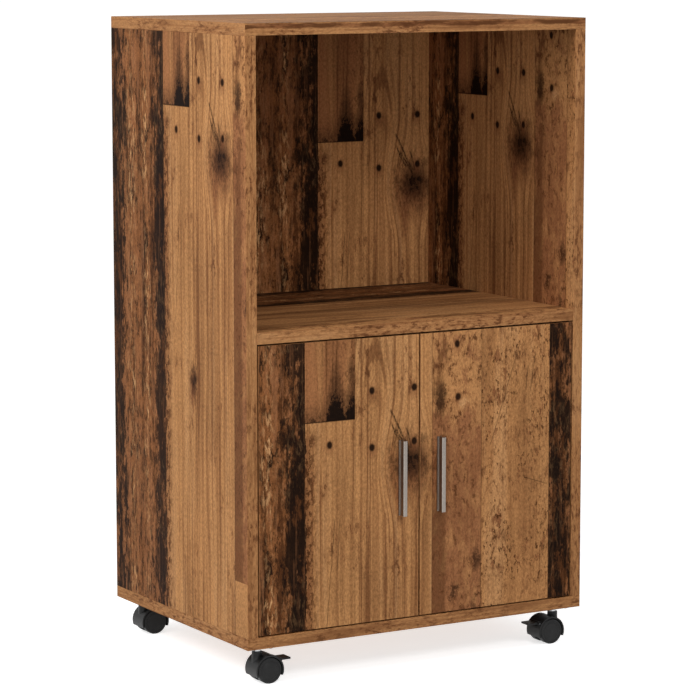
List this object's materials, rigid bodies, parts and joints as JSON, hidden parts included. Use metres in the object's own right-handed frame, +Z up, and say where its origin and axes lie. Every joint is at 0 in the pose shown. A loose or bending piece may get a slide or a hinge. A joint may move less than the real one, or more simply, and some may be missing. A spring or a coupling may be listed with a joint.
{
  "type": "mobile printer stand",
  "caption": "Tall wheeled office stand: flat top, open niche over a cupboard with two inset doors and slim pull handles, on swivelling twin-wheel castors with brake levers.",
  "frame": {"origin": "on the floor under the centre of the whole object, handles included", "axes": "+X to the right as seen from the front, doors face -Y, +Z up"},
  "size_m": [0.6, 0.456, 0.988],
  "materials": {
    "plank_board": "old-plank print on melamine-faced board, satin",
    "beech": "plain turned wood",
    "zinc": "zinc plated, dull",
    "steel_screw": "zinc plated, bright",
    "nickel": "nickel plated pressed steel",
    "satin_metal": "satin, fine lengthwise brushing",
    "steel": "plain turned steel",
    "castor_wheel": "moulded black nylon",
    "castor_hood": "moulded black nylon, slight sheen",
    "castor_lever": "moulded black nylon"
  },
  "bodies": {
    "carcass": {"back_panel": "plank_board", "bottom_panel": "plank_board", "cam_bolts": "steel_screw", "cam_locks": "zinc", "carcass_screws": "steel_screw", "castor_screws": "steel_screw", "front_left_castor_plate": "zinc", "front_left_castor_stem": "steel", "front_right_castor_plate": "zinc", "front_right_castor_stem": "steel", "left_hinge_arms": "nickel", "left_hinge_plate_screws": "steel_screw", "left_hinge_plates": "nickel", "left_side_panel": "plank_board", "middle_shelf": "plank_board", "rear_left_castor_plate": "zinc", "rear_left_castor_stem": "steel", "rear_right_castor_plate": "zinc", "rear_right_castor_stem": "steel", "right_hinge_arms": "nickel", "right_hinge_plate_screws": "steel_screw", "right_hinge_plates": "nickel", "right_side_panel": "plank_board", "top_panel": "plank_board", "wood_dowels": "beech"},
    "left_door": {"left_cup_screws": "steel_screw", "left_door": "plank_board", "left_handle": "satin_metal", "left_handle_screws": "steel_screw", "left_hinge_cups": "nickel", "left_hinge_pins": "nickel"},
    "right_door": {"right_cup_screws": "steel_screw", "right_door": "plank_board", "right_handle": "satin_metal", "right_handle_screws": "steel_screw", "right_hinge_cups": "nickel", "right_hinge_pins": "nickel"},
    "front_left_castor": {"front_left_castor_axle": "steel", "front_left_castor_brake_pin": "steel", "front_left_castor_hood": "castor_hood"},
    "front_left_castor_brake_lever": {"front_left_castor_brake_lever": "castor_lever"},
    "front_left_castor_far_wheel": {"front_left_castor_far_wheel": "castor_wheel"},
    "front_left_castor_near_wheel": {"front_left_castor_near_wheel": "castor_wheel"},
    "front_right_castor": {"front_right_castor_axle": "steel", "front_right_castor_brake_pin": "steel", "front_right_castor_hood": "castor_hood"},
    "front_right_castor_brake_lever": {"front_right_castor_brake_lever": "castor_lever"},
    "front_right_castor_far_wheel": {"front_right_castor_far_wheel": "castor_wheel"},
    "front_right_castor_near_wheel": {"front_right_castor_near_wheel": "castor_wheel"},
    "rear_left_castor": {"rear_left_castor_axle": "steel", "rear_left_castor_hood": "castor_hood"},
    "rear_left_castor_far_wheel": {"rear_left_castor_far_wheel": "castor_wheel"},
    "rear_left_castor_near_wheel": {"rear_left_castor_near_wheel": "castor_wheel"},
    "rear_right_castor": {"rear_right_castor_axle": "steel", "rear_right_castor_hood": "castor_hood"},
    "rear_right_castor_far_wheel": {"rear_right_castor_far_wheel": "castor_wheel"},
    "rear_right_castor_near_wheel": {"rear_right_castor_near_wheel": "castor_wheel"}
  },
  "joints": [
    {"name": "left_door_hinge", "type": "hinge", "parent": "carcass", "child": "left_door", "pos_m": [-0.259, -0.202, 0.2965], "axis": [0, 0, -1], "range_deg": [0, 95]},
    {"name": "right_door_hinge", "type": "hinge", "parent": "carcass", "child": "right_door", "pos_m": [0.259, -0.202, 0.2965], "axis": [0, 0, 1], "range_deg": [0, 95]},
    {"name": "front_left_castor_swivel", "type": "hinge", "parent": "carcass", "child": "front_left_castor", "pos_m": [-0.268, -0.182, 0.04], "axis": [0, 0, 1], "continuous": true},
    {"name": "front_left_castor_near_wheel_spin", "type": "hinge", "parent": "front_left_castor", "child": "front_left_castor_near_wheel", "pos_m": [-0.255, -0.182, 0.02], "axis": [0, 1, 0], "continuous": true},
    {"name": "front_left_castor_far_wheel_spin", "type": "hinge", "parent": "front_left_castor", "child": "front_left_castor_far_wheel", "pos_m": [-0.255, -0.182, 0.02], "axis": [0, 1, 0], "continuous": true},
    {"name": "front_left_castor_brake", "type": "hinge", "parent": "front_left_castor", "child": "front_left_castor_brake_lever", "pos_m": [-0.23534, -0.182, 0.03377], "axis": [0, 1, 0], "range_deg": [0, 20]},
    {"name": "front_right_castor_swivel", "type": "hinge", "parent": "carcass", "child": "front_right_castor", "pos_m": [0.268, -0.182, 0.04], "axis": [0, 0, 1], "continuous": true},
    {"name": "front_right_castor_near_wheel_spin", "type": "hinge", "parent": "front_right_castor", "child": "front_right_castor_near_wheel", "pos_m": [0.255, -0.182, 0.02], "axis": [0, 1, 0], "continuous": true},
    {"name": "front_right_castor_far_wheel_spin", "type": "hinge", "parent": "front_right_castor", "child": "front_right_castor_far_wheel", "pos_m": [0.255, -0.182, 0.02], "axis": [0, 1, 0], "continuous": true},
    {"name": "front_right_castor_brake", "type": "hinge", "parent": "front_right_castor", "child": "front_right_castor_brake_lever", "pos_m": [0.23534, -0.182, 0.03377], "axis": [0, -1, 0], "range_deg": [0, 20]},
    {"name": "rear_left_castor_swivel", "type": "hinge", "parent": "carcass", "child": "rear_left_castor", "pos_m": [-0.268, 0.198, 0.04], "axis": [0, 0, 1], "continuous": true},
    {"name": "rear_left_castor_near_wheel_spin", "type": "hinge", "parent": "rear_left_castor", "child": "rear_left_castor_near_wheel", "pos_m": [-0.255, 0.198, 0.02], "axis": [0, 1, 0], "continuous": true},
    {"name": "rear_left_castor_far_wheel_spin", "type": "hinge", "parent": "rear_left_castor", "child": "rear_left_castor_far_wheel", "pos_m": [-0.255, 0.198, 0.02], "axis": [0, 1, 0], "continuous": true},
    {"name": "rear_right_castor_swivel", "type": "hinge", "parent": "carcass", "child": "rear_right_castor", "pos_m": [0.268, 0.198, 0.04], "axis": [0, 0, 1], "continuous": true},
    {"name": "rear_right_castor_near_wheel_spin", "type": "hinge", "parent": "rear_right_castor", "child": "rear_right_castor_near_wheel", "pos_m": [0.255, 0.198, 0.02], "axis": [0, 1, 0], "continuous": true},
    {"name": "rear_right_castor_far_wheel_spin", "type": "hinge", "parent": "rear_right_castor", "child": "rear_right_castor_far_wheel", "pos_m": [0.255, 0.198, 0.02], "axis": [0, 1, 0], "continuous": true}
  ]
}
